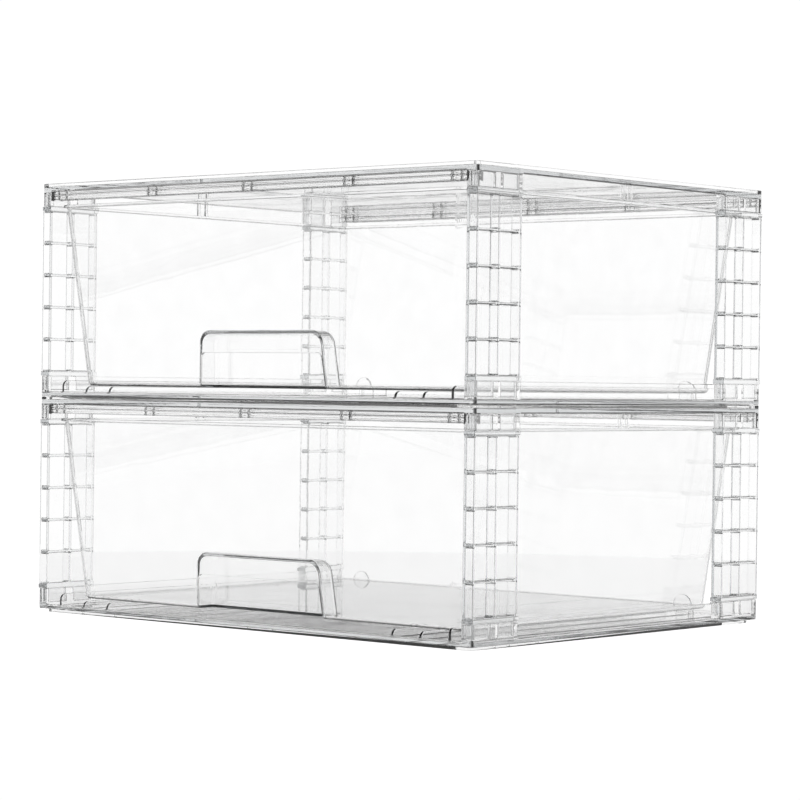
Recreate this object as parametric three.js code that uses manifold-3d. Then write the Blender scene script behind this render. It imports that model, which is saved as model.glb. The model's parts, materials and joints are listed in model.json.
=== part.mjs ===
// Two clear plastic shoe boxes, one standing on the other. Each is a drawer in an open frame:
// a base panel and a top panel joined by four lattice columns that plug into corner sockets.
// Millimetres, +Z up, front towards -Y. The origin is the middle of the footprint, on the floor.
import * as THREE from "three";
import { mergeVertices } from "three/addons/utils/BufferGeometryUtils.js";
import Module from "manifold-3d";

// Driving dimensions
const WIDTH = 420;
const DEPTH = 333;
const TIERS = ["lower", "upper"];
const GAP = 0.3; // clearance between pieces that plug, rest or slide together
const WALL = 2; // skirts, rails and socket walls
const CORNER_RADIUS = 2.5; // plan corners of both panels

// Heights of one unit, from the bottom of its foot
const FOOT = 2.7;
const BASE_SHEET = 2.2;
const BASE_BAND = 3.5; // edge band of the base
const SOCKET_HEIGHT = 14.8; // base block and skirt, measured from the base sheet's underside
const COLLAR = 3.1;
const CELLS = 5;
const CELL_PITCH = 24;
const TOP_BLOCK = 11.2; // top block and skirt, below the top sheet
const TOP_SHEET = 3;
const STACK_RIM = 2.5;

const baseTop = FOOT + SOCKET_HEIGHT;
const latticeBottom = baseTop + GAP + COLLAR;
const latticeTop = latticeBottom + CELLS * CELL_PITCH;
const blockBottom = latticeTop + COLLAR + GAP;
const sheetBottom = blockBottom + TOP_BLOCK;
const sheetTop = sheetBottom + TOP_SHEET;
const stackPitch = sheetTop + GAP;

// Corner socket blocks and the columns that stand in them
const BLOCK_WIDTH = 9.4;
const BLOCK_DEPTH = 48.4;
const COLUMN_INSET = 0.3;
const COLUMN_WIDTH = 9;
const COLUMN_DEPTH = 47;
const COLUMN_WALL = 1.8;
const RIB = 1.6;
const SOCKET_WIDTH = 5.4;
const SOCKET_DEPTH = 17.4;
const SOCKET_REACH = 10.4;
const SOCKET_CENTRES = [11.9, 36.3]; // from the outer end of the block

// Foot rim under the base, which drops inside the stacking rim below it
const FOOT_INSET = 5;
const FOOT_WIDTH = 2.2;
const STACK_RIM_WIDTH = 3.6;

// Rails, skirts and runners
const SKIRT_INSET = 0.6;
const SKIRT_RIB = 1.6;
const SKIRT_RIB_REACH = 3;
const SKIRT_RIB_OFFSET = 4.1;
const RAIL_DROP = 6.9;
const RAIL_SPAN = 10.8; // from the outer face of a rail to its inner face
const RAIL_BRIDGES = 5;
const RAIL_BRIDGE_PITCH = 95.2;
const RAIL_BRIDGE = 9.5; // over both webs of a bridge
const RAIL_WEB = 1.3;
const RUNNER = 2;
const RUNNER_TOP = 10.3;
const RUNNER_CENTRES = [138.5, 163.2];
const GUIDE_CENTRE = 188.4;
const GUIDE_TOP = 14.4;
const RUNNER_FRONT = 3; // from the front edge of the base
const RUNNER_REAR = 22; // from the rear edge of the base
const RUNNER_NOSE = 4.5; // radius of the rounded front end
const STOP_CENTRE = 159;
const STOP_WIDTH = 16.4;
const STOP_TOP = 19.5;
const STOP_CLEARANCE = 1.3; // behind the drawer's floor, since its rear wall leans back

// Drawer
const DRAWER_BOTTOM = RUNNER_TOP + GAP;
const DRAWER_TOP = 144.9;
const FLOOR_HALF_WIDTH = 183.6;
const FLOOR_FRONT = -147.2;
const FLOOR_REAR = 140.1;
const RIM_HALF_WIDTH = 195.6;
const RIM_FRONT = -160.2;
const RIM_REAR = 154.8;
const DRAWER_WALL = 2;
const DRAWER_CORNER = 9;
const DRAWER_EDGE = 5; // radius between the floor and the walls
const LIP = 2.4; // flange round the drawer's rim
const LIP_HEIGHT = 2;

// Finger pull: a pocket in the drawer's front, open below and in front, with a lip over its top
const PULL_HALF_WIDTH = 60.5; // at the drawer's underside
const PULL_TAPER = 3.5; // how much narrower it is at its top, on each side
const PULL_HEIGHT = 38.7;
const PULL_DEPTH = 15.7;
const PULL_RADIUS = 8;
const PULL_OPENING = 25; // from the drawer's underside up to the lip's lower edge
const PULL_OPENING_RADIUS = 4;

const CURVE_STEPS = 5;
const REACH = 400; // longer than any piece, for cutting blocks

const wasm = await Module();
wasm.setup();

// A closed three.js geometry as a solid for joining and cutting.
function solid(geometry) {
  const bare = new THREE.BufferGeometry();
  bare.setAttribute("position", geometry.getAttribute("position"));
  bare.setIndex(geometry.getIndex());
  const merged = mergeVertices(bare, 1e-4);
  return new wasm.Manifold(
    new wasm.Mesh({
      numProp: 3,
      vertProperties: merged.getAttribute("position").array,
      triVerts: new Uint32Array(merged.getIndex().array),
    }),
  );
}

function geometryOf(made) {
  const mesh = made.getMesh();
  const geometry = new THREE.BufferGeometry();
  geometry.setAttribute("position", new THREE.BufferAttribute(mesh.vertProperties, 3));
  geometry.setIndex(new THREE.BufferAttribute(mesh.triVerts, 1));
  geometry.computeVertexNormals();
  return geometry;
}

// A block between two values on each axis, given in either order.
function block([x0, x1], [y0, y1], [z0, z1]) {
  const geometry = new THREE.BoxGeometry(Math.abs(x1 - x0), Math.abs(y1 - y0), Math.abs(z1 - z0));
  geometry.translate((x0 + x1) / 2, (y0 + y1) / 2, (z0 + z1) / 2);
  return solid(geometry);
}

// Both ends of a range, taken to the side given by the sign.
const sided = (sign, from, to) => [sign * from, sign * to];

const joined = (solids) => solids.reduce((sum, next) => sum.add(next));

function roundedRectangle(x0, x1, y0, y1, radius) {
  const shape = new THREE.Shape();
  const turn = Math.PI / 2;
  shape.moveTo(x0 + radius, y0);
  shape.lineTo(x1 - radius, y0);
  shape.absarc(x1 - radius, y0 + radius, radius, -turn, 0, false);
  shape.lineTo(x1, y1 - radius);
  shape.absarc(x1 - radius, y1 - radius, radius, 0, turn, false);
  shape.lineTo(x0 + radius, y1);
  shape.absarc(x0 + radius, y1 - radius, radius, turn, 2 * turn, false);
  shape.lineTo(x0, y0 + radius);
  shape.absarc(x0 + radius, y0 + radius, radius, 2 * turn, 3 * turn, false);
  return shape;
}

function prism(shape, z0, z1) {
  const geometry = new THREE.ExtrudeGeometry(shape, {
    depth: z1 - z0,
    bevelEnabled: false,
    curveSegments: CURVE_STEPS,
  });
  geometry.translate(0, 0, z0);
  return solid(geometry);
}

// A plate of the panel's outline, drawn in by an inset on every side.
function plate(inset, z0, z1) {
  const x = WIDTH / 2 - inset;
  const y = DEPTH / 2 - inset;
  return prism(roundedRectangle(-x, x, -y, y, CORNER_RADIUS), z0, z1);
}

function ring(inset, width, z0, z1) {
  return plate(inset, z0, z1).subtract(plate(inset + width, z0 - 1, z1 + 1));
}

const corners = [-1, 1].flatMap((sx) => [-1, 1].map((sy) => [sx, sy]));

// One corner block; z0 is the closed end and z1 the mouth that the column plugs into.
function socketBlock(sx, sy, z0, z1) {
  const outerX = WIDTH / 2;
  const outerY = DEPTH / 2;
  const body = block(
    sided(sx, outerX - BLOCK_WIDTH, outerX),
    sided(sy, outerY - BLOCK_DEPTH, outerY),
    [z0, z1],
  );
  const centreX = outerX - BLOCK_WIDTH / 2;
  const mouth = Math.sign(z1 - z0);
  const pockets = SOCKET_CENTRES.map((offset) =>
    block(
      sided(sx, centreX - SOCKET_WIDTH / 2, centreX + SOCKET_WIDTH / 2),
      sided(sy, outerY - offset - SOCKET_DEPTH / 2, outerY - offset + SOCKET_DEPTH / 2),
      [z1 - mouth * SOCKET_REACH, z1 + mouth],
    ),
  );
  return body.subtract(joined(pockets));
}

function sideSkirt(sx, z0, z1) {
  const outer = WIDTH / 2 - SKIRT_INSET;
  const end = DEPTH / 2 - BLOCK_DEPTH + 1;
  return block(sided(sx, outer - WALL, outer), [-end, end], [z0, z1]);
}

// Two short ribs that stiffen the middle of a side skirt from inside.
function skirtRibs(sx, z0, z1) {
  const outer = WIDTH / 2 - SKIRT_INSET;
  const reach = sided(sx, outer - WALL - SKIRT_RIB_REACH, outer - 1);
  const ribs = [-SKIRT_RIB_OFFSET, SKIRT_RIB_OFFSET].map((y) =>
    block(reach, [y - SKIRT_RIB / 2, y + SKIRT_RIB / 2], [z0, z1]),
  );
  return joined(ribs);
}

// A runner along Y whose front end is rounded over, from the base sheet up to its top.
function runner(x, top) {
  const front = -DEPTH / 2 + RUNNER_FRONT;
  const rear = DEPTH / 2 - RUNNER_REAR;
  const bottom = FOOT + BASE_SHEET / 2;
  const profile = new THREE.Shape();
  profile.moveTo(front, bottom);
  profile.lineTo(rear, bottom);
  profile.lineTo(rear, top);
  profile.lineTo(front + RUNNER_NOSE, top);
  profile.absarc(front + RUNNER_NOSE, top - RUNNER_NOSE, RUNNER_NOSE, Math.PI / 2, Math.PI, false);
  const geometry = new THREE.ExtrudeGeometry(profile, {
    depth: RUNNER,
    bevelEnabled: false,
    curveSegments: CURVE_STEPS,
  });
  // The profile is drawn in Y and Z, so its own axes turn to those.
  geometry.rotateX(Math.PI / 2);
  geometry.rotateZ(Math.PI / 2);
  geometry.translate(x - RUNNER / 2, 0, 0);
  return solid(geometry);
}

// A D-shaped tab that stops the drawer against its rear wall.
function rearStop(sx) {
  const half = STOP_WIDTH / 2;
  const shape = new THREE.Shape();
  shape.moveTo(-half, FOOT + 1);
  shape.lineTo(half, FOOT + 1);
  shape.lineTo(half, STOP_TOP - half);
  shape.absarc(0, STOP_TOP - half, half, 0, Math.PI, false);
  const geometry = new THREE.ExtrudeGeometry(shape, {
    depth: WALL,
    bevelEnabled: false,
    curveSegments: 2 * CURVE_STEPS,
  });
  geometry.rotateX(Math.PI / 2);
  geometry.translate(sx * STOP_CENTRE, FLOOR_REAR + STOP_CLEARANCE + WALL, 0);
  return solid(geometry);
}

function basePanel() {
  const under = FOOT;
  const pieces = [
    plate(0, under, under + BASE_SHEET),
    ring(0, WALL, under, under + BASE_BAND),
    ring(FOOT_INSET, FOOT_WIDTH, 0, under + 1),
  ];
  for (const [sx, sy] of corners) pieces.push(socketBlock(sx, sy, under, baseTop));
  for (const sx of [-1, 1]) {
    pieces.push(sideSkirt(sx, under, baseTop));
    for (const x of RUNNER_CENTRES) pieces.push(runner(sx * x, RUNNER_TOP));
    pieces.push(runner(sx * GUIDE_CENTRE, GUIDE_TOP));
    pieces.push(rearStop(sx));
  }
  return joined(pieces);
}

// The double wall under the front or rear edge of the top sheet, tied by bridges of two webs each.
// Its inner wall clears the drawer's rim, and the outer wall goes down to the height given.
function rail(sy, outerBottom) {
  const outer = DEPTH / 2 - SKIRT_INSET;
  const end = WIDTH / 2 - BLOCK_WIDTH + 1;
  const inner = outer - RAIL_SPAN;
  const bottom = sheetBottom - RAIL_DROP;
  const pieces = [
    block([-end, end], sided(sy, outer - WALL, outer), [outerBottom, sheetBottom + 1]),
    block([-end, end], sided(sy, inner, inner + WALL), [bottom, sheetBottom + 1]),
  ];
  for (let i = 0; i < RAIL_BRIDGES; i++) {
    const x = (i - (RAIL_BRIDGES - 1) / 2) * RAIL_BRIDGE_PITCH;
    for (const side of [-1, 1]) {
      const web = x + (side * (RAIL_BRIDGE - RAIL_WEB)) / 2;
      pieces.push(
        block(
          [web - RAIL_WEB / 2, web + RAIL_WEB / 2],
          sided(sy, inner + 1, outer - 1),
          [bottom + GAP, sheetBottom + 1],
        ),
      );
    }
  }
  return joined(pieces);
}

function topPanel() {
  const pieces = [
    plate(0, sheetBottom, sheetTop),
    ring(0, STACK_RIM_WIDTH, sheetTop - 1, sheetTop + STACK_RIM),
    rail(-1, sheetBottom - RAIL_DROP),
    rail(1, blockBottom),
  ];
  for (const [sx, sy] of corners) pieces.push(socketBlock(sx, sy, sheetBottom + 1, blockBottom));
  for (const sx of [-1, 1]) {
    pieces.push(sideSkirt(sx, blockBottom, sheetBottom + 1));
    pieces.push(skirtRibs(sx, blockBottom, sheetBottom + 1));
  }
  return joined(pieces);
}

// Tongues at one end of a column, each a loose fit in its socket pocket.
function tongues(sx, sy, z0, z1) {
  const centreX = WIDTH / 2 - BLOCK_WIDTH / 2;
  const halfX = SOCKET_WIDTH / 2 - GAP;
  const halfY = SOCKET_DEPTH / 2 - GAP;
  return SOCKET_CENTRES.map((offset) => {
    const y = DEPTH / 2 - offset;
    return block(sided(sx, centreX - halfX, centreX + halfX), sided(sy, y - halfY, y + halfY), [z0, z1]);
  });
}

function column(sx, sy) {
  const outerX = WIDTH / 2 - COLUMN_INSET;
  const outerY = DEPTH / 2 - COLUMN_INSET;
  const innerX = outerX - COLUMN_WIDTH;
  const innerY = outerY - COLUMN_DEPTH;
  const tall = [latticeBottom - 1, latticeTop + 1];
  const web = block(sided(sx, innerX, innerX + COLUMN_WALL), sided(sy, innerY, outerY), tall);
  const wallStarts = [0, (COLUMN_DEPTH - COLUMN_WALL) / 2, COLUMN_DEPTH - COLUMN_WALL];
  const walls = wallStarts.map((from) => {
    const y = innerY + from;
    return block(sided(sx, innerX, outerX), sided(sy, y, y + COLUMN_WALL), tall);
  });
  const ribs = [];
  for (let i = 1; i < CELLS; i++) {
    const z = latticeBottom + i * CELL_PITCH;
    const side = sided(sy, innerY, outerY);
    ribs.push(block(sided(sx, innerX, outerX - GAP), side, [z - RIB / 2, z + RIB / 2]));
  }
  const collarX = sided(sx, WIDTH / 2 - BLOCK_WIDTH, WIDTH / 2);
  const collarY = sided(sy, DEPTH / 2 - BLOCK_DEPTH, DEPTH / 2);
  const reach = SOCKET_REACH - 2 * GAP;
  return joined([
    web,
    ...walls,
    ...ribs,
    block(collarX, collarY, [latticeBottom - COLLAR, latticeBottom]),
    block(collarX, collarY, [latticeTop, latticeTop + COLLAR]),
    ...tongues(sx, sy, baseTop - reach, latticeBottom - 1),
    ...tongues(sx, sy, latticeTop + 1, blockBottom + reach),
  ]);
}

// The drawer's box with upright sides is widened towards its rim: a point keeps its share of the
// distance from the middle of its own level.
function widen(geometry) {
  const position = geometry.getAttribute("position");
  const floorMiddle = (FLOOR_FRONT + FLOOR_REAR) / 2;
  const rimMiddle = (RIM_FRONT + RIM_REAR) / 2;
  const widthGain = RIM_HALF_WIDTH / FLOOR_HALF_WIDTH - 1;
  const depthGain = (RIM_REAR - RIM_FRONT) / (FLOOR_REAR - FLOOR_FRONT) - 1;
  for (let i = 0; i < position.count; i++) {
    const rise = (position.getZ(i) - DRAWER_BOTTOM) / (DRAWER_TOP - DRAWER_BOTTOM);
    const middle = floorMiddle + rise * (rimMiddle - floorMiddle);
    position.setX(i, position.getX(i) * (1 + rise * widthGain));
    position.setY(i, middle + (position.getY(i) - floorMiddle) * (1 + rise * depthGain));
  }
  return geometry;
}

// The drawer's outer form, or its inside when inset by the wall, with a rounded lower edge.
function drawerForm(inset, bottom) {
  const edge = DRAWER_EDGE - inset / 2;
  const shape = roundedRectangle(
    -FLOOR_HALF_WIDTH + inset + edge,
    FLOOR_HALF_WIDTH - inset - edge,
    FLOOR_FRONT + inset + edge,
    FLOOR_REAR - inset - edge,
    DRAWER_CORNER - edge,
  );
  const geometry = new THREE.ExtrudeGeometry(shape, {
    depth: DRAWER_TOP - DRAWER_BOTTOM,
    bevelThickness: edge,
    bevelSize: edge,
    bevelSegments: 3,
    curveSegments: CURVE_STEPS,
  });
  geometry.translate(0, 0, bottom + edge);
  return solid(widen(geometry));
}

const level = (z0, z1) => block([-REACH, REACH], [-REACH, REACH], [z0, z1]);

function drawerLip() {
  const outline = roundedRectangle(
    -RIM_HALF_WIDTH - LIP,
    RIM_HALF_WIDTH + LIP,
    RIM_FRONT - LIP,
    RIM_REAR + LIP,
    DRAWER_CORNER + LIP,
  );
  return prism(outline, DRAWER_TOP - LIP_HEIGHT, DRAWER_TOP);
}

// An upright slab with two rounded upper corners and leaning sides, standing across the drawer's
// front. The margin is added to the pull's own width.
function archSlab(margin, radius, [y0, y1], [z0, z1]) {
  const halfAt = (z) => PULL_HALF_WIDTH + margin - (PULL_TAPER * (z - DRAWER_BOTTOM)) / PULL_HEIGHT;
  const shoulder = halfAt(z1 - radius);
  const shape = new THREE.Shape();
  shape.moveTo(-halfAt(z0), z0);
  shape.lineTo(halfAt(z0), z0);
  shape.lineTo(shoulder, z1 - radius);
  shape.absarc(shoulder - radius, z1 - radius, radius, 0, Math.PI / 2, false);
  shape.lineTo(-shoulder + radius, z1);
  shape.absarc(-shoulder + radius, z1 - radius, radius, Math.PI / 2, Math.PI, false);
  const geometry = new THREE.ExtrudeGeometry(shape, {
    depth: y1 - y0,
    bevelEnabled: false,
    curveSegments: CURVE_STEPS,
  });
  geometry.rotateX(Math.PI / 2);
  geometry.translate(0, y1, 0);
  return solid(geometry);
}

function drawer() {
  const outer = drawerForm(0, DRAWER_BOTTOM).intersect(level(0, DRAWER_TOP));
  const inner = drawerForm(DRAWER_WALL, DRAWER_BOTTOM + DRAWER_WALL);
  const pocketTop = DRAWER_BOTTOM + PULL_HEIGHT;
  const pocketRear = FLOOR_FRONT + PULL_DEPTH;
  const wall = DRAWER_WALL;
  const shell = archSlab(
    wall,
    PULL_RADIUS + wall,
    [RIM_FRONT, pocketRear + wall],
    [DRAWER_BOTTOM, pocketTop + wall],
  ).intersect(outer);
  const hollow = archSlab(
    0,
    PULL_RADIUS,
    [RIM_FRONT - 1, pocketRear],
    [DRAWER_BOTTOM - 1, pocketTop],
  ).intersect(drawerForm(wall, 0));
  const opening = archSlab(
    0,
    PULL_OPENING_RADIUS,
    [RIM_FRONT - 1, pocketRear],
    [DRAWER_BOTTOM - 1, DRAWER_BOTTOM + PULL_OPENING],
  );
  return outer.add(drawerLip()).subtract(inner).add(shell).subtract(hollow).subtract(opening);
}

// Finishes: one clear plastic for every piece
function clearPlastic() {
  return new THREE.MeshStandardMaterial({
    color: 0xf2f5f6,
    roughness: 0.06,
    metalness: 0,
    transparent: true,
    opacity: 0.35,
  });
}

function piece(name, made) {
  const mesh = new THREE.Mesh(geometryOf(made), clearPlastic());
  mesh.name = name;
  return mesh;
}

const SIDES = { left: -1, right: 1 };
const ENDS = { front: -1, rear: 1 };

function unit(tier) {
  const group = new THREE.Group();
  group.add(piece(`${tier}_base_panel`, basePanel()));
  group.add(piece(`${tier}_top_panel`, topPanel()));
  for (const [end, sy] of Object.entries(ENDS)) {
    for (const [side, sx] of Object.entries(SIDES)) {
      group.add(piece(`${tier}_column_${end}_${side}`, column(sx, sy)));
    }
  }
  group.add(piece(`${tier}_drawer`, drawer()));
  return group;
}

const shoeBoxes = new THREE.Group();
TIERS.forEach((tier, i) => {
  const one = unit(tier);
  one.position.z = i * stackPitch;
  shoeBoxes.add(one);
});

export default shoeBoxes;
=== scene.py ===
import json
import math

import bmesh
import bpy
from mathutils import Matrix, Vector

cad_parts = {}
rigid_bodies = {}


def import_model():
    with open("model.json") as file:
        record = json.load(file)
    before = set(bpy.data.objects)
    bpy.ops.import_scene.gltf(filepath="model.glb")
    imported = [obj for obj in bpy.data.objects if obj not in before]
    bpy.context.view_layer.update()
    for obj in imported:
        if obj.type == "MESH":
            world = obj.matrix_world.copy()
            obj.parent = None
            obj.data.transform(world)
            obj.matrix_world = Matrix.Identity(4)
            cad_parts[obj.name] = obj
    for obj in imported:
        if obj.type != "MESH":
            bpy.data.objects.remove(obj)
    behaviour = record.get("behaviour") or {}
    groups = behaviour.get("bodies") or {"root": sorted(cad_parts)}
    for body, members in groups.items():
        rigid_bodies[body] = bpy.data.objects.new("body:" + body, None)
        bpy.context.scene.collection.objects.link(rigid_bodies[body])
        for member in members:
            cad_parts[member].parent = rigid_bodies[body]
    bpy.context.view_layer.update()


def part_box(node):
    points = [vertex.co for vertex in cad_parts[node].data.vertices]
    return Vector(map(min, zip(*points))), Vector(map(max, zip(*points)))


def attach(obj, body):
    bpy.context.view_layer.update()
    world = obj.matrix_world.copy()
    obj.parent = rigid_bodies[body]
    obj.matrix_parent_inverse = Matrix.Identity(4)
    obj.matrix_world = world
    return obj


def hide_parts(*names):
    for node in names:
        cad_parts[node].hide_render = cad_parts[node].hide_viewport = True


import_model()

# ---------------------------------------------------------------- shader graphs

class Value:
    """A shader socket that can be used in ordinary arithmetic."""

    def __init__(self, graph, socket):
        self.graph = graph
        self.socket = socket

    def _math(self, operation, *values):
        return self.graph.node("ShaderNodeMath", {"operation": operation}, dict(enumerate(values)))

    def __add__(self, other):
        return self._math("ADD", self, other)

    def __radd__(self, other):
        return self._math("ADD", other, self)

    def __sub__(self, other):
        return self._math("SUBTRACT", self, other)

    def __rsub__(self, other):
        return self._math("SUBTRACT", other, self)

    def __mul__(self, other):
        return self._math("MULTIPLY", self, other)

    def __rmul__(self, other):
        return self._math("MULTIPLY", other, self)

    def ramp(self, low, high, start=0.0, end=1.0):
        """Smooth step from start at low to end at high."""
        inputs = {"Value": self, "From Min": low, "From Max": high, "To Min": start, "To Max": end}
        return self.graph.node("ShaderNodeMapRange", {"interpolation_type": "SMOOTHSTEP"}, inputs)


class Graph:
    """A node tree whose nodes are made by one call each."""

    def __init__(self, tree):
        self.tree = tree
        tree.nodes.clear()

    def node(self, kind, settings, inputs, output=0):
        made = self.tree.nodes.new(kind)
        for name, value in settings.items():
            setattr(made, name, value)
        for name, value in inputs.items():
            socket = made.inputs[name]
            if isinstance(value, Value):
                self.tree.links.new(value.socket, socket)
            else:
                socket.default_value = value
        return Value(self, made.outputs[output])

    def mix(self, factor, first, second):
        """A colour between first and second."""
        inputs = {0: factor, 6: first, 7: second}
        return self.node("ShaderNodeMix", {"data_type": "RGBA"}, inputs, 2)


def direction(azimuth):
    """Level unit vector, measured clockwise from the back of the boxes seen from above."""
    return (math.sin(azimuth), math.cos(azimuth), 0.0)

# ---------------------------------------------------------------- clear plastic

PLASTIC_IOR = 1.57
SHEET_GRAZING = (0.7, 0.98)
POST_GRAZING = (0.5, 0.85)
WAVES_PER_METRE = 22.0
GRAINS_PER_METRE = 900.0
HAZE_PER_METRE = 60.0
HAZE_TINT = 0.985
HAZE_ROUGHNESS = 0.018
BUMP_METRES = 0.001
GRAIN_SHARE = 0.02  # of the height of the flow waves
TINT = (1.0, 1.0, 1.0, 1.0)
DEPTH_COLOUR = (0.56, 0.58, 0.59, 1.0)


def shade_of(share):
    """The tint, darkened to a share of itself."""
    return tuple(share * c for c in TINT[:3]) + (1.0,)


def clear_plastic(name, density, wave, grazing, painted_edge_shade):
    """Moulded clear plastic: flow waves, a breath of haze, and painted shade that darkens the base colour
    where the surface turns away from the view.
    """
    material = bpy.data.materials.new(name)
    material.use_nodes = True
    graph = Graph(material.node_tree)
    place = graph.node("ShaderNodeTexCoord", {}, {}, "Object")
    waves = graph.node("ShaderNodeTexNoise", {}, {"Vector": place, "Scale": WAVES_PER_METRE, "Detail": 2.0})
    grain = graph.node("ShaderNodeTexNoise", {}, {"Vector": place, "Scale": GRAINS_PER_METRE, "Detail": 3.0})
    haze = graph.node("ShaderNodeTexNoise", {}, {"Vector": place, "Scale": HAZE_PER_METRE, "Detail": 5.0})
    shade = graph.mix(haze.ramp(0.35, 0.7), TINT, shade_of(HAZE_TINT))
    # Painted shade: the base colour darkens towards the edge shade where the surface turns edge-on to the
    # view.
    facing = graph.node("ShaderNodeLayerWeight", {}, {"Blend": 0.5}, "Facing")
    shade = graph.mix(facing.ramp(*grazing), shade, shade_of(painted_edge_shade))
    height = waves * wave + grain * (wave * GRAIN_SHARE)
    bump = graph.node("ShaderNodeBump", {}, {"Strength": 1.0, "Distance": BUMP_METRES, "Height": height})
    surface = graph.node(
        "ShaderNodeBsdfPrincipled",
        {},
        {
            "Base Color": shade,
            "Roughness": haze.ramp(0.45, 0.8, 0.0, HAZE_ROUGHNESS),
            "IOR": PLASTIC_IOR,
            "Transmission Weight": 1.0,
            "Normal": bump,
        },
    )
    volume = graph.node("ShaderNodeVolumeAbsorption", {}, {"Color": DEPTH_COLOUR, "Density": density})
    output = graph.tree.nodes.new("ShaderNodeOutputMaterial")
    graph.tree.links.new(surface.socket, output.inputs["Surface"])
    graph.tree.links.new(volume.socket, output.inputs["Volume"])
    return material


# The last number of each is the painted edge shade, the share of the tint that the base colour keeps where
# the surface turns edge-on.
PANEL = clear_plastic("panel_plastic", 2.0, 0.10, SHEET_GRAZING, 0.35)
COLUMN = clear_plastic("column_plastic", 22.0, 0.06, POST_GRAZING, 0.12)
DRAWER = clear_plastic("drawer_plastic", 14.0, 0.08, SHEET_GRAZING, 0.08)

# ---------------------------------------------------------------- measures, in millimetres

TIERS = ("lower", "upper")
MM = 0.001


def box_mm(node):
    low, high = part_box(node)
    return low / MM, high / MM


base_low, base_high = box_mm("lower_base_panel")
top_low, top_high = box_mm("lower_top_panel")
column_low, column_high = box_mm("lower_column_front_right")
drawer_low, drawer_high = box_mm("lower_drawer")
TIER_RISE = box_mm("upper_base_panel")[0].z - base_low.z

HALF_X = base_high.x
HALF_Y = base_high.y
GAP = 0.3
WALL = 2.0
FOOT = 2.7
BASE_SHEET = 2.2
BASE_BAND = 3.5
BASE_TOP = 17.5
COLLAR = 3.1
STACK_RIM = 2.5
TOP_SHEET = 3.0
SHEET_TOP = top_high.z - STACK_RIM
SHEET_BOTTOM = SHEET_TOP - TOP_SHEET
BLOCK_BOTTOM = top_low.z
PANEL_CORNER = 2.5

LAP = 1.0  # how far a rib or rail runs into the body that it joins
BLOCK_WIDTH = 9.4
BLOCK_DEPTH = 48.4
SOCKET_WIDTH = 5.4
SOCKET_DEPTH = 17.4
SOCKET_REACH = 10.4
SOCKET_CORNER = 1.1
SOCKET_CENTRES = (11.9, 36.3)
FOOT_INSET = 5.0
FOOT_WIDTH = 2.2
GUSSET_HALF = 0.8
GUSSET_LAP = 0.6
GUSSET_REACH = 2.2
GUSSET_BOTTOM = 0.5
FOOT_GUSSETS_X = (-168.0, -133.0, 2.0, 26.0, 103.0, 162.0, 190.0)
FOOT_GUSSETS_Y = (-135.0, -120.0, -89.0, -37.0, 75.0, 128.0)
STACK_RIM_WIDTH = 3.6
SKIRT_INSET = 0.6
SKIRT_RIB_OFFSET = 4.1
SKIRT_RIB_HALF = 0.8
SKIRT_RIB_INSETS = (1.6, 5.6)

RAIL_DROP = 6.9
RAIL_SPAN = 10.8
RAIL_BRIDGE = 9.5
RAIL_WEB = 1.3
RAIL_BRIDGES_X = (-190.4, -95.2, 0.0, 95.2, 190.4)
RUNNER_TOP = 10.3
RUNNERS = ((138.5, RUNNER_TOP), (163.2, RUNNER_TOP), (188.4, 14.4))
RUNNER_HALF = 1.0
RUNNER_FRONT = 3.0
RUNNER_REAR = 22.0
RUNNER_NOSE = 4.5
STOP_CENTRE = 159.0
STOP_HALF = 8.2
STOP_CLEARANCE = 1.3

LIP = 2.4
LIP_HEIGHT = 2.0
DRAWER_BOTTOM = drawer_low.z
DRAWER_TOP = drawer_high.z
DRAWER_CORNER = 9.0
DRAWER_EDGE = 3.2
RIM = (drawer_high.x - LIP, drawer_low.y + LIP, drawer_high.y - LIP)
FLOOR = (183.6, -147.2, 140.1)
PULL_HALF = 60.5
PULL_TAPER = 3.5
PULL_HEIGHT = 38.7
PULL_DEPTH = 15.7
PULL_RADIUS = 8.0
PULL_OPENING = 25.0
PULL_OPENING_RADIUS = 4.0
PULL_OUTER_ROUNDING = 4.5
PULL_INNER_ROUNDING = 2.5
PULL_START = 12.0  # in front of the drawer's floor, where its cutting bodies begin
PULL_SHOULDER = 3.0
UNDERCUT = 3.0
OVERCUT = 5.0
SHARP = 0.5

CORNER_STEPS = 10
SMALL_CORNER_STEPS = 4
WELD = 0.002
FLAT_ANGLE = math.radians(0.4)
HARD_ANGLE = math.radians(35)
PANEL_EASE = 0.45
COLUMN_EASE = 0.5
DRAWER_EASE = 0.5
RAIL_SWELL = 1.5
RAIL_BEADS = 2
BEAD_STEPS = 20

# ---------------------------------------------------------------- solids

workshop = bpy.data.collections.new("workshop")
bpy.context.scene.collection.children.link(workshop)


def form(shape):
    """A finished bmesh as an object in the workshop."""
    bmesh.ops.recalc_face_normals(shape, faces=shape.faces)
    mesh = bpy.data.meshes.new("form")
    shape.to_mesh(mesh)
    shape.free()
    made = bpy.data.objects.new("form", mesh)
    workshop.objects.link(made)
    return made


def loft(rings):
    """A closed body through rings of points that match one to one."""
    shape = bmesh.new()
    rows = [[shape.verts.new(point) for point in ring] for ring in rings]
    count = len(rows[0])
    for lower, upper in zip(rows, rows[1:]):
        for i in range(count):
            after = (i + 1) % count
            shape.faces.new((lower[i], lower[after], upper[after], upper[i]))
    shape.faces.new(rows[0])
    shape.faces.new(rows[-1])
    return form(shape)


def prism(outline, low, high, axis="Z"):
    """An outline drawn on the plane across an axis, drawn out along it."""
    turned = {
        "X": lambda a, b, c: (c, a, b),
        "Y": lambda a, b, c: (a, c, b),
        "Z": lambda a, b, c: (a, b, c),
    }[axis]
    return loft([[turned(a, b, level) for a, b in outline] for level in (low, high)])


def block(x, y, z):
    """A box between two values on each axis, in either order."""
    x0, x1 = sorted(x)
    y0, y1 = sorted(y)
    return prism([(x0, y0), (x1, y0), (x1, y1), (x0, y1)], *sorted(z))


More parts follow.
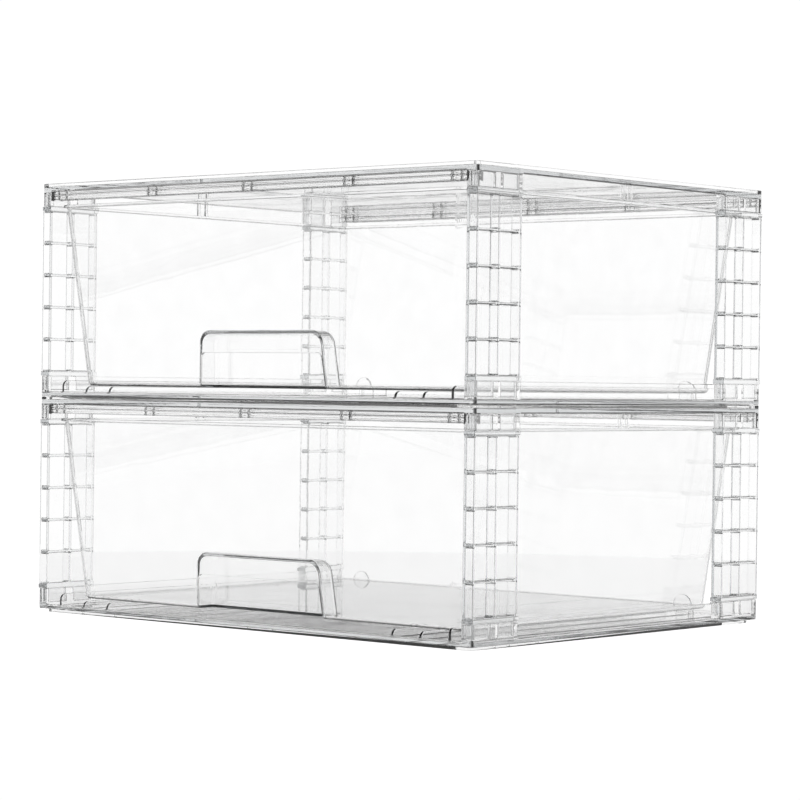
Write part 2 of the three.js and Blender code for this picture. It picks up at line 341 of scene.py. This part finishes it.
def arc(centre, radius, start, end, steps):
    angles = [math.radians(start + (end - start) * i / steps) for i in range(steps + 1)]
    return [(centre[0] + radius * math.cos(a), centre[1] + radius * math.sin(a)) for a in angles]


def rounded(x0, x1, y0, y1, radius, steps=CORNER_STEPS):
    return (
        arc((x1 - radius, y0 + radius), radius, -90, 0, steps)
        + arc((x1 - radius, y1 - radius), radius, 0, 90, steps)
        + arc((x0 + radius, y1 - radius), radius, 90, 180, steps)
        + arc((x0 + radius, y0 + radius), radius, 180, 270, steps)
    )


def worked(body):
    """The body after its modifiers, as a plain mesh in the workshop."""
    bpy.context.view_layer.update()
    depsgraph = bpy.context.evaluated_depsgraph_get()
    mesh = bpy.data.meshes.new_from_object(body.evaluated_get(depsgraph))
    made = bpy.data.objects.new("form", mesh)
    workshop.objects.link(made)
    return made


def shaped(first, *steps):
    """The first body after each (operation, body) in turn, as one closed body."""
    for operation, other in steps:
        cut = first.modifiers.new("cut", "BOOLEAN")
        cut.operation = operation
        cut.object = other
        cut.solver = "MANIFOLD"
    return worked(first)


def apart(bodies):
    """Bodies that don't touch each other, as one object."""
    shape = bmesh.new()
    for body in bodies:
        shape.from_mesh(body.data)
    return form(shape)


def plate(inset, z0, z1):
    x = HALF_X - inset
    y = HALF_Y - inset
    return prism(rounded(-x, x, -y, y, PANEL_CORNER), z0, z1)


def ring(inset, width, z0, z1):
    return shaped(plate(inset, z0, z1), ("DIFFERENCE", plate(inset + width, z0 - LAP, z1 + LAP)))


CORNERS = [(sx, sy) for sx in (-1, 1) for sy in (-1, 1)]


def corner_outline(sx, sy):
    """A corner block seen from above, with the panel's own corner radius."""
    x = sx * HALF_X
    y = sy * HALF_Y
    inner_x = sx * (HALF_X - BLOCK_WIDTH)
    inner_y = sy * (HALF_Y - BLOCK_DEPTH)
    turn = arc((HALF_X - PANEL_CORNER, HALF_Y - PANEL_CORNER), PANEL_CORNER, 0, 90, CORNER_STEPS)
    outline = [(sx * a, sy * b) for a, b in turn] + [(inner_x, y), (inner_x, inner_y), (x, inner_y)]
    return outline if sx * sy > 0 else outline[::-1]


def corner_blocks(closed, mouth):
    """The four socket blocks, and the pockets that are cut in them from the mouth."""
    way = 1 if mouth > closed else -1
    blocks = []
    pockets = []
    for sx, sy in CORNERS:
        blocks.append(prism(corner_outline(sx, sy), *sorted((closed, mouth))))
        middle = sx * (HALF_X - BLOCK_WIDTH / 2)
        for offset in SOCKET_CENTRES:
            centre = sy * (HALF_Y - offset)
            outline = rounded(
                middle - SOCKET_WIDTH / 2,
                middle + SOCKET_WIDTH / 2,
                centre - SOCKET_DEPTH / 2,
                centre + SOCKET_DEPTH / 2,
                SOCKET_CORNER,
                SMALL_CORNER_STEPS,
            )
            pockets.append(prism(outline, *sorted((mouth - way * SOCKET_REACH, mouth + way))))
    return apart(blocks), apart(pockets)


def skirts(z0, z1):
    outer = HALF_X - SKIRT_INSET
    end = HALF_Y - BLOCK_DEPTH + LAP
    return apart([block((sx * (outer - WALL), sx * outer), (-end, end), (z0, z1)) for sx in (-1, 1)])


def runner(x, top):
    front = -HALF_Y + RUNNER_FRONT
    rear = HALF_Y - RUNNER_REAR
    nose = arc((front + RUNNER_NOSE, top - RUNNER_NOSE), RUNNER_NOSE, 180, 90, CORNER_STEPS)
    profile = [(front, FOOT + LAP)] + nose + [(rear, top), (rear, FOOT + LAP)]
    return prism(profile, x - RUNNER_HALF, x + RUNNER_HALF, "X")


def rear_stop(sx):
    rise = arc((sx * STOP_CENTRE, base_high.z - STOP_HALF), STOP_HALF, 0, 180, 2 * CORNER_STEPS)
    left = sx * STOP_CENTRE - STOP_HALF
    right = sx * STOP_CENTRE + STOP_HALF
    near = FLOOR[2] + STOP_CLEARANCE
    return prism([(left, FOOT + LAP), (right, FOOT + LAP)] + rise, near, near + WALL, "Y")


def foot_gussets():
    """Small webs that tie the foot rim to the sheet above it."""
    reach = FOOT_INSET + FOOT_WIDTH
    rise = (GUSSET_BOTTOM, FOOT + GUSSET_LAP)
    made = []
    for x in FOOT_GUSSETS_X:
        for sy in (-1, 1):
            y = (sy * (HALF_Y - reach + GUSSET_LAP), sy * (HALF_Y - reach - GUSSET_REACH))
            made.append(block((x - GUSSET_HALF, x + GUSSET_HALF), y, rise))
    for y in FOOT_GUSSETS_Y:
        for sx in (-1, 1):
            x = (sx * (HALF_X - reach + GUSSET_LAP), sx * (HALF_X - reach - GUSSET_REACH))
            made.append(block(x, (y - GUSSET_HALF, y + GUSSET_HALF), rise))
    return apart(made)


def base_panel():
    blocks, pockets = corner_blocks(FOOT, BASE_TOP)
    runners = [runner(sx * x, top) for sx in (-1, 1) for x, top in RUNNERS]
    return shaped(
        plate(0, FOOT, FOOT + BASE_SHEET),
        ("UNION", ring(0, WALL, FOOT, FOOT + BASE_BAND)),
        ("UNION", ring(FOOT_INSET, FOOT_WIDTH, base_low.z, FOOT + LAP)),
        ("UNION", foot_gussets()),
        ("UNION", skirts(FOOT, BASE_TOP)),
        ("UNION", blocks),
        ("DIFFERENCE", pockets),
        ("UNION", apart(runners)),
        ("UNION", apart([rear_stop(-1), rear_stop(1)])),
    )


def rail_wall(face, way, bottom, end):
    """One wall of a rail: flat on its face, with round beads along its back below the sheet."""
    back = face + way * WALL
    start = SHEET_BOTTOM - RAIL_DROP
    outline = [(face, bottom)]
    if bottom < start:
        outline.append((back, bottom))
    steps = BEAD_STEPS * RAIL_BEADS
    for i in range(steps + 1):
        share = i / steps
        swell = RAIL_SWELL * (1 - math.cos(2 * math.pi * RAIL_BEADS * share)) / 2
        outline.append((back + way * swell, start + share * RAIL_DROP))
    outline += [(back, SHEET_BOTTOM + LAP), (face, SHEET_BOTTOM + LAP)]
    return prism(outline, -end, end, "X")


def rail(sy, outer_bottom):
    """The two walls under the front or rear edge, and the bridges of two webs that tie them."""
    outer = HALF_Y - SKIRT_INSET
    inner = outer - RAIL_SPAN
    end = HALF_X - BLOCK_WIDTH + LAP
    bottom = SHEET_BOTTOM - RAIL_DROP
    walls = apart([
        rail_wall(sy * outer, -sy, outer_bottom, end),
        rail_wall(sy * inner, sy, bottom, end),
    ])
    across = (sy * (inner + LAP), sy * (outer - LAP))
    rise = (bottom + GAP, SHEET_BOTTOM + LAP)
    centres = [x + side * (RAIL_BRIDGE - RAIL_WEB) / 2 for x in RAIL_BRIDGES_X for side in (-1, 1)]
    bridges = [block((x - RAIL_WEB / 2, x + RAIL_WEB / 2), across, rise) for x in centres]
    return shaped(walls, ("UNION", apart(bridges)))


def top_panel():
    blocks, pockets = corner_blocks(SHEET_BOTTOM + LAP, BLOCK_BOTTOM)
    rise = (BLOCK_BOTTOM, SHEET_BOTTOM + LAP)
    ribs = []
    for sx in (-1, 1):
        x = tuple(sx * (HALF_X - inset) for inset in SKIRT_RIB_INSETS)
        for y in (-SKIRT_RIB_OFFSET, SKIRT_RIB_OFFSET):
            ribs.append(block(x, (y - SKIRT_RIB_HALF, y + SKIRT_RIB_HALF), rise))
    return shaped(
        plate(0, SHEET_BOTTOM, SHEET_TOP),
        ("UNION", ring(0, STACK_RIM_WIDTH, SHEET_TOP - LAP, top_high.z)),
        ("UNION", rail(-1, SHEET_BOTTOM - RAIL_DROP)),
        ("UNION", rail(1, BLOCK_BOTTOM)),
        ("UNION", skirts(BLOCK_BOTTOM, SHEET_BOTTOM + LAP)),
        ("UNION", apart(ribs)),
        ("UNION", blocks),
        ("DIFFERENCE", pockets),
    )


def eased(body, width, segments=2):
    """The body with its flat faces whole and every hard edge eased by the width given."""
    shape = bmesh.new()
    shape.from_mesh(body.data)
    bmesh.ops.remove_doubles(shape, verts=shape.verts, dist=WELD)
    bmesh.ops.dissolve_limit(shape, angle_limit=FLAT_ANGLE, verts=shape.verts, edges=shape.edges)
    holder = form(shape)
    ease = holder.modifiers.new("ease", "BEVEL")
    ease.width = width
    ease.segments = segments
    ease.limit_method = "ANGLE"
    ease.angle_limit = HARD_ANGLE
    ease.use_clamp_overlap = False
    return worked(holder)


def in_metres(body):
    mesh = body.data.copy()
    mesh.transform(Matrix.Scale(MM, 4))
    return mesh


# ---------------------------------------------------------------- column lattice

CELL_COLUMNS = 2
CELL_ROWS = 5
CELL_RISE = 24.0
COLUMN_WALL = 1.8
COLUMN_WIDTH = 9.0
COLUMN_DEPTH = 47.0
CELL_LAP = 0.2  # how far a cell is cut into the walls, which are added whole
BLANK_INSET = 0.1
BLANK_LAP = 1.5
RIB = 1.2
RIB_SET_BACK = 0.9
CELL_CORNER = 1.6
LATTICE_BOTTOM = BASE_TOP + GAP + COLLAR
LATTICE_TOP = LATTICE_BOTTOM + CELL_ROWS * CELL_RISE


def lattice_tree():
    """Cuts a regular field of round-cornered cells into a blank."""
    tree = bpy.data.node_groups.new("lattice", "GeometryNodeTree")
    face = tree.interface
    face.new_socket("Geometry", in_out="OUTPUT", socket_type="NodeSocketGeometry")
    face.new_socket("Blank", in_out="INPUT", socket_type="NodeSocketGeometry")
    for name in ("Columns", "Rows"):
        face.new_socket(name, in_out="INPUT", socket_type="NodeSocketInt")
    for name in ("Step Across", "Step Up", "Cell Width", "Cell Height", "Cell Depth", "Corner"):
        face.new_socket(name, in_out="INPUT", socket_type="NodeSocketFloat")
    face.new_socket("Centre", in_out="INPUT", socket_type="NodeSocketVector")
    face.new_socket("Plastic", in_out="INPUT", socket_type="NodeSocketMaterial")
    graph = Graph(tree)
    given = tree.nodes.new("NodeGroupInput")

    def value(name):
        return Value(graph, given.outputs[name])

    sides = {"Width": value("Cell Width"), "Height": value("Cell Height")}
    outline = graph.node("GeometryNodeCurvePrimitiveQuadrilateral", {}, sides)
    eased = graph.node(
        "GeometryNodeFilletCurve",
        {"mode": "POLY"},
        {"Curve": outline, "Count": 4, "Radius": value("Corner"), "Limit Radius": True},
    )
    floor_face = graph.node("GeometryNodeFillCurve", {"mode": "NGONS"}, {"Curve": eased})
    up = graph.node("ShaderNodeCombineXYZ", {}, {"Z": value("Cell Depth")})
    drawn = graph.node(
        "GeometryNodeExtrudeMesh", {"mode": "FACES"}, {"Mesh": floor_face, "Offset": up, "Individual": False}
    )
    turned = graph.node("GeometryNodeFlipFaces", {}, {"Mesh": floor_face})
    joined = graph.tree.nodes.new("GeometryNodeJoinGeometry")
    graph.tree.links.new(drawn.socket, joined.inputs[0])
    graph.tree.links.new(turned.socket, joined.inputs[0])
    cell = graph.node("GeometryNodeMergeByDistance", {}, {"Geometry": Value(graph, joined.outputs[0])})
    field = graph.node(
        "GeometryNodeMeshGrid",
        {},
        {
            "Size X": value("Step Across") * (value("Columns") - 1.0),
            "Size Y": value("Step Up") * (value("Rows") - 1.0),
            "Vertices X": value("Columns"),
            "Vertices Y": value("Rows"),
        },
    )
    cells = graph.node("GeometryNodeInstanceOnPoints", {}, {"Points": field, "Instance": cell})
    upright = graph.node(
        "GeometryNodeTransform",
        {},
        {
            "Geometry": cells,
            "Translation": value("Centre"),
            "Rotation": (math.pi / 2, 0.0, math.pi / 2),
        },
    )
    cutters = graph.node("GeometryNodeRealizeInstances", {}, {"Geometry": upright})
    cut = graph.node(
        "GeometryNodeMeshBoolean",
        {"operation": "DIFFERENCE", "solver": "MANIFOLD"},
        {"Mesh 1": value("Blank"), "Mesh 2": cutters},
    )
    whole = graph.node("GeometryNodeRealizeInstances", {}, {"Geometry": cut})
    done = graph.node("GeometryNodeSetMaterial", {}, {"Geometry": whole, "Material": value("Plastic")})
    output = tree.nodes.new("NodeGroupOutput")
    tree.links.new(done.socket, output.inputs["Geometry"])
    return tree


def latticed(blank, settings):
    """The blank after the lattice tree, as a plain mesh."""
    tree = lattice_tree()
    modifier = blank.modifiers.new("lattice", "NODES")
    modifier.node_group = tree
    for item in tree.interface.items_tree:
        if item.in_out == "INPUT" and item.name in settings:
            modifier[item.identifier] = settings[item.name]
    made = worked(blank)
    blank.modifiers.remove(modifier)
    return made


def column():
    """The front right column; the other three are its mirror images."""
    outer_x = HALF_X - GAP
    outer_y = -HALF_Y + GAP
    inner_x = outer_x - COLUMN_WIDTH
    inner_y = outer_y + COLUMN_DEPTH
    middle_y = (outer_y + inner_y) / 2
    cell_width = (COLUMN_DEPTH - 3 * COLUMN_WALL) / 2 + CELL_LAP
    rise = (LATTICE_BOTTOM - BLANK_LAP, LATTICE_TOP + BLANK_LAP)
    sides = (outer_y + BLANK_INSET, inner_y - BLANK_INSET)
    blank = block((inner_x, outer_x - RIB_SET_BACK), sides, rise)
    lattice = latticed(
        blank,
        {
            "Columns": CELL_COLUMNS,
            "Rows": CELL_ROWS,
            "Step Across": cell_width + COLUMN_WALL - CELL_LAP,
            "Step Up": CELL_RISE,
            "Cell Width": cell_width,
            "Cell Height": CELL_RISE - RIB,
            "Cell Depth": COLUMN_WIDTH,
            "Corner": CELL_CORNER,
            "Centre": (inner_x + COLUMN_WALL, middle_y, (LATTICE_BOTTOM + LATTICE_TOP) / 2),
            "Plastic": COLUMN,
        },
    )
    walls = []
    for share in (0.0, 0.5, 1.0):
        start = outer_y + share * (COLUMN_DEPTH - COLUMN_WALL)
        reach = (inner_x + COLUMN_WALL / 2, outer_x)
        rise = (LATTICE_BOTTOM - LAP, LATTICE_TOP + LAP)
        walls.append(block(reach, (start, start + COLUMN_WALL), rise))
    collar_x = (HALF_X - BLOCK_WIDTH, HALF_X)
    collar_y = (-HALF_Y, -HALF_Y + BLOCK_DEPTH)
    collars = apart([
        block(collar_x, collar_y, (LATTICE_BOTTOM - COLLAR, LATTICE_BOTTOM)),
        block(collar_x, collar_y, (LATTICE_TOP, LATTICE_TOP + COLLAR)),
    ])
    middle = HALF_X - BLOCK_WIDTH / 2
    half_x = SOCKET_WIDTH / 2 - GAP
    half_y = SOCKET_DEPTH / 2 - GAP
    tongues = []
    for offset in SOCKET_CENTRES:
        y = -HALF_Y + offset
        sides = (middle - half_x, middle + half_x, y - half_y, y + half_y)
        outline = rounded(*sides, SOCKET_CORNER, SMALL_CORNER_STEPS)
        tongues.append(prism(outline, column_low.z, LATTICE_BOTTOM - LAP))
        tongues.append(prism(outline, LATTICE_TOP + LAP, column_high.z))
    return shaped(
        eased(lattice, COLUMN_EASE, 3),
        ("UNION", eased(apart(walls), COLUMN_EASE, 3)),
        ("UNION", eased(collars, PANEL_EASE)),
        ("UNION", eased(apart(tongues), PANEL_EASE)),
    )


# ---------------------------------------------------------------- drawer

def drawer_section(inset, z):
    """The drawer's outline at a height, drawn in by an inset."""
    share = (z - DRAWER_BOTTOM) / (DRAWER_TOP - DRAWER_BOTTOM)
    half, front, rear = (low + share * (high - low) for low, high in zip(FLOOR, RIM))
    outline = rounded(-half + inset, half - inset, front + inset, rear - inset, DRAWER_CORNER - inset)
    return [(x, y, z) for x, y in outline]


def quarter_turn(radius, steps):
    """Steps round an edge: how far in from the side, and how far up from the end."""
    turns = [math.radians(90 * i / steps) for i in range(steps + 1)]
    return [(radius * (1 - math.sin(t)), radius * (1 - math.cos(t))) for t in turns]


def drawer_form(inset, bottom, top, edge):
    """The drawer's outside or inside, with a round lower edge."""
    rings = []
    for inward, upward in quarter_turn(edge, 6):
        rings.append(drawer_section(inset + inward, bottom + upward))
    rings.append(drawer_section(inset, top))
    return loft(rings)


def pull_outline(margin, radius, z0, z1):
    """The pull seen from in front: upright, narrower upwards, two round corners."""
    def half(z):
        return PULL_HALF + margin - PULL_TAPER * (z - DRAWER_BOTTOM) / PULL_HEIGHT

    shoulder = half(z1 - radius)
    right = arc((shoulder - radius, z1 - radius), radius, 0, 90, CORNER_STEPS)
    left = arc((-shoulder + radius, z1 - radius), radius, 90, 180, CORNER_STEPS)
    return [(-half(z0), z0), (half(z0), z0)] + right + left


LEAN = (RIM[1] - FLOOR[1]) / (DRAWER_TOP - DRAWER_BOTTOM)


def pull_body(margin, radius, front, rear, z0, z1, rounding):
    """The pull's outline drawn back at the lean of the front wall, with an eased rear edge."""
    stations = [(front, 0.0)]
    for back, inset in quarter_turn(rounding, 5):
        stations.append((rear - back, inset))
    rings = []
    for y, inset in stations:
        outline = pull_outline(margin - inset, radius - inset, z0, z1 - inset)
        rings.append([(x, y + LEAN * (z - DRAWER_BOTTOM), z) for x, z in outline])
    return loft(rings)


def drawer():
    lip = prism(
        rounded(-RIM[0] - LIP, RIM[0] + LIP, RIM[1] - LIP, RIM[2] + LIP, DRAWER_CORNER + LIP),
        DRAWER_TOP - LIP_HEIGHT,
        DRAWER_TOP,
    )
    outer = drawer_form(0.0, DRAWER_BOTTOM, DRAWER_TOP, DRAWER_EDGE)
    inner = drawer_form(WALL, DRAWER_BOTTOM + WALL, DRAWER_TOP + OVERCUT, DRAWER_EDGE - WALL)
    within = drawer_form(WALL, DRAWER_BOTTOM - OVERCUT, DRAWER_TOP - 2 * OVERCUT, SHARP)
    top = DRAWER_BOTTOM + PULL_HEIGHT
    back = FLOOR[1] + PULL_DEPTH
    front = FLOOR[1] - PULL_START
    under = DRAWER_BOTTOM - UNDERCUT
    ceiling = DRAWER_BOTTOM + PULL_OPENING
    ends = (front - OVERCUT, back - PULL_SHOULDER)
    thick = PULL_RADIUS + WALL
    shell = pull_body(WALL, thick, front, back + WALL, DRAWER_BOTTOM, top + WALL, PULL_OUTER_ROUNDING)
    hollow = pull_body(0.0, PULL_RADIUS, front, back, under, top, PULL_INNER_ROUNDING)
    opening = pull_body(0.0, PULL_OPENING_RADIUS, *ends, under, ceiling, SHARP)
    bounds = drawer_form(0.0, DRAWER_BOTTOM, DRAWER_TOP, DRAWER_EDGE)
    return shaped(
        outer,
        ("UNION", lip),
        ("DIFFERENCE", inner),
        ("UNION", shaped(shell, ("INTERSECT", bounds))),
        ("DIFFERENCE", shaped(hollow, ("INTERSECT", within))),
        ("DIFFERENCE", opening),
    )


# ---------------------------------------------------------------- pieces

def place(mesh, name, node, body, material, slot, turn=Matrix.Identity(4)):
    """A copy of the mesh as a finished piece that stands for a node."""
    own = mesh.copy()
    own.transform(turn)
    if turn.determinant() < 0:
        own.flip_normals()
    own.materials.clear()
    own.materials.append(material)
    piece = bpy.data.objects.new(name, own)
    bpy.context.scene.collection.objects.link(piece)
    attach(piece, body)
    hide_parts(node)


base_mesh = in_metres(eased(base_panel(), PANEL_EASE))
top_mesh = in_metres(eased(top_panel(), PANEL_EASE))
column_mesh = in_metres(column())
drawer_mesh = in_metres(eased(drawer(), DRAWER_EASE))

for rise, tier in enumerate(TIERS):
    lift = Matrix.Translation((0.0, 0.0, rise * TIER_RISE * MM))
    frame_body = tier + "_frame"
    place(base_mesh, tier + "_base", tier + "_base_panel", frame_body, PANEL, "clear_panel", lift)
    place(top_mesh, tier + "_top", tier + "_top_panel", frame_body, PANEL, "clear_panel", lift)
    for end, flip_y in (("front", 1.0), ("rear", -1.0)):
        for side, flip_x in (("right", 1.0), ("left", -1.0)):
            mirror = Matrix.Diagonal((flip_x, flip_y, 1.0, 1.0))
            name = f"{tier}_post_{end}_{side}"
            node = f"{tier}_column_{end}_{side}"
            place(column_mesh, name, node, frame_body, COLUMN, "clear_column", lift @ mirror)
    place(drawer_mesh, tier + "_tray", tier + "_drawer", tier + "_drawer", DRAWER, "clear_drawer", lift)

for made in list(workshop.objects):
    bpy.data.objects.remove(made)
bpy.data.collections.remove(workshop)

# ---------------------------------------------------------------- studio

VIEW_AZIMUTH = math.radians(40.8351)
VIEW_ELEVATION = math.radians(0.3828)
VIEW_ROLL = math.radians(0.70775)
CAMERA_PLACE = Vector((1.34848, -1.55827, 0.17545))
CAMERA_LENS = 124.6
FLOOR_RADIUS = 0.8
FLOOR_GLOW = (0.78, 0.78, 0.78, 1.0)
FLOOR_DROP = 0.0005
FIBRES_PER_METRE = 400.0

# Brightness of the room, and the angles in degrees at which it changes
CEILING_LEVEL = 0.03
WALL_LEVEL = 1.03
WALL_TOP = 16.0
CEILING_START = 30.0
CARD_LEVEL = 0.3
CARD_OFFSET = 24.0
CARD_INNER = 4.0
CARD_OUTER = 10.0


def studio_light():
    """A white room under a dark ceiling, with two grey cards that draw the edges of clear plastic."""
    world = bpy.data.worlds.new("studio")
    world.use_nodes = True
    bpy.context.scene.world = world
    graph = Graph(world.node_tree)
    ray = graph.node("ShaderNodeTexCoord", {}, {}, "Generated")
    height = graph.node("ShaderNodeSeparateXYZ", {}, {"Vector": ray}, "Z")
    heights = math.sin(math.radians(WALL_TOP)), math.sin(math.radians(CEILING_START))
    light = height.ramp(*heights, WALL_LEVEL, CEILING_LEVEL)
    for side in (-1, 1):
        card = direction(math.radians(side * CARD_OFFSET) - VIEW_AZIMUTH)
        inputs = {0: ray, 1: card}
        facing = graph.node("ShaderNodeVectorMath", {"operation": "DOT_PRODUCT"}, inputs, "Value")
        cosines = math.cos(math.radians(CARD_OUTER)), math.cos(math.radians(CARD_INNER))
        light = light * facing.ramp(*cosines, 1.0, CARD_LEVEL)
    seen = graph.node("ShaderNodeLightPath", {}, {}, "Is Camera Ray")
    strength = light * (1.0 - seen) + seen * WALL_LEVEL
    background = graph.node("ShaderNodeBackground", {}, {"Color": (1.0, 1.0, 1.0, 1.0), "Strength": strength})
    output = graph.tree.nodes.new("ShaderNodeOutputWorld")
    graph.tree.links.new(background.socket, output.inputs["Surface"])


def floor():
    material = bpy.data.materials.new("floor_paper")
    material.use_nodes = True
    graph = Graph(material.node_tree)
    place = graph.node("ShaderNodeTexCoord", {}, {}, "Object")
    fibre = graph.node("ShaderNodeTexNoise", {}, {"Vector": place, "Scale": FIBRES_PER_METRE, "Detail": 4.0})
    colour = graph.mix(fibre, (0.93, 0.93, 0.93, 1.0), (0.96, 0.96, 0.96, 1.0))
    seen = graph.node("ShaderNodeLightPath", {}, {}, "Is Camera Ray")
    glow = graph.mix(seen, FLOOR_GLOW, (1.0, 1.0, 1.0, 1.0))
    inputs = {
        "Base Color": colour,
        "Roughness": 0.9,
        "Specular IOR Level": 0.1,
        "Emission Color": glow,
        "Emission Strength": 1.0,
    }
    surface = graph.node("ShaderNodeBsdfPrincipled", {}, inputs)
    output = graph.tree.nodes.new("ShaderNodeOutputMaterial")
    graph.tree.links.new(surface.socket, output.inputs["Surface"])
    disc = bmesh.new()
    bmesh.ops.create_circle(disc, cap_ends=True, segments=96, radius=FLOOR_RADIUS)
    mesh = bpy.data.meshes.new("floor")
    disc.to_mesh(mesh)
    disc.free()
    mesh.materials.append(material)
    made = bpy.data.objects.new("floor", mesh)
    made.location.z = -FLOOR_DROP
    bpy.context.scene.collection.objects.link(made)


def camera():
    data = bpy.data.cameras.new("camera")
    data.sensor_width = 36.0
    data.lens = CAMERA_LENS
    data.clip_end = 20.0
    made = bpy.data.objects.new("camera", data)
    azimuth, elevation = VIEW_AZIMUTH, VIEW_ELEVATION
    back = Vector((
        math.sin(azimuth) * math.cos(elevation),
        -math.cos(azimuth) * math.cos(elevation),
        math.sin(elevation),
    ))
    right = Vector((math.cos(azimuth), math.sin(azimuth), 0.0))
    up = back.cross(right)
    across = right * math.cos(VIEW_ROLL) + up * math.sin(VIEW_ROLL)
    upward = up * math.cos(VIEW_ROLL) - right * math.sin(VIEW_ROLL)
    turned = Matrix((across, upward, back)).transposed().to_4x4()
    made.matrix_world = Matrix.Translation(CAMERA_PLACE) @ turned
    bpy.context.scene.collection.objects.link(made)
    bpy.context.scene.camera = made


studio_light()
floor()
camera()

scene = bpy.context.scene
scene.view_settings.view_transform = "Standard"
scene.view_settings.look = "None"
scene.cycles.max_bounces = 26
scene.cycles.transmission_bounces = 26
scene.cycles.glossy_bounces = 16
scene.cycles.diffuse_bounces = 3
scene.cycles.volume_bounces = 2
scene.cycles.transparent_max_bounces = 16
scene.cycles.caustics_refractive = True
scene.cycles.caustics_reflective = True
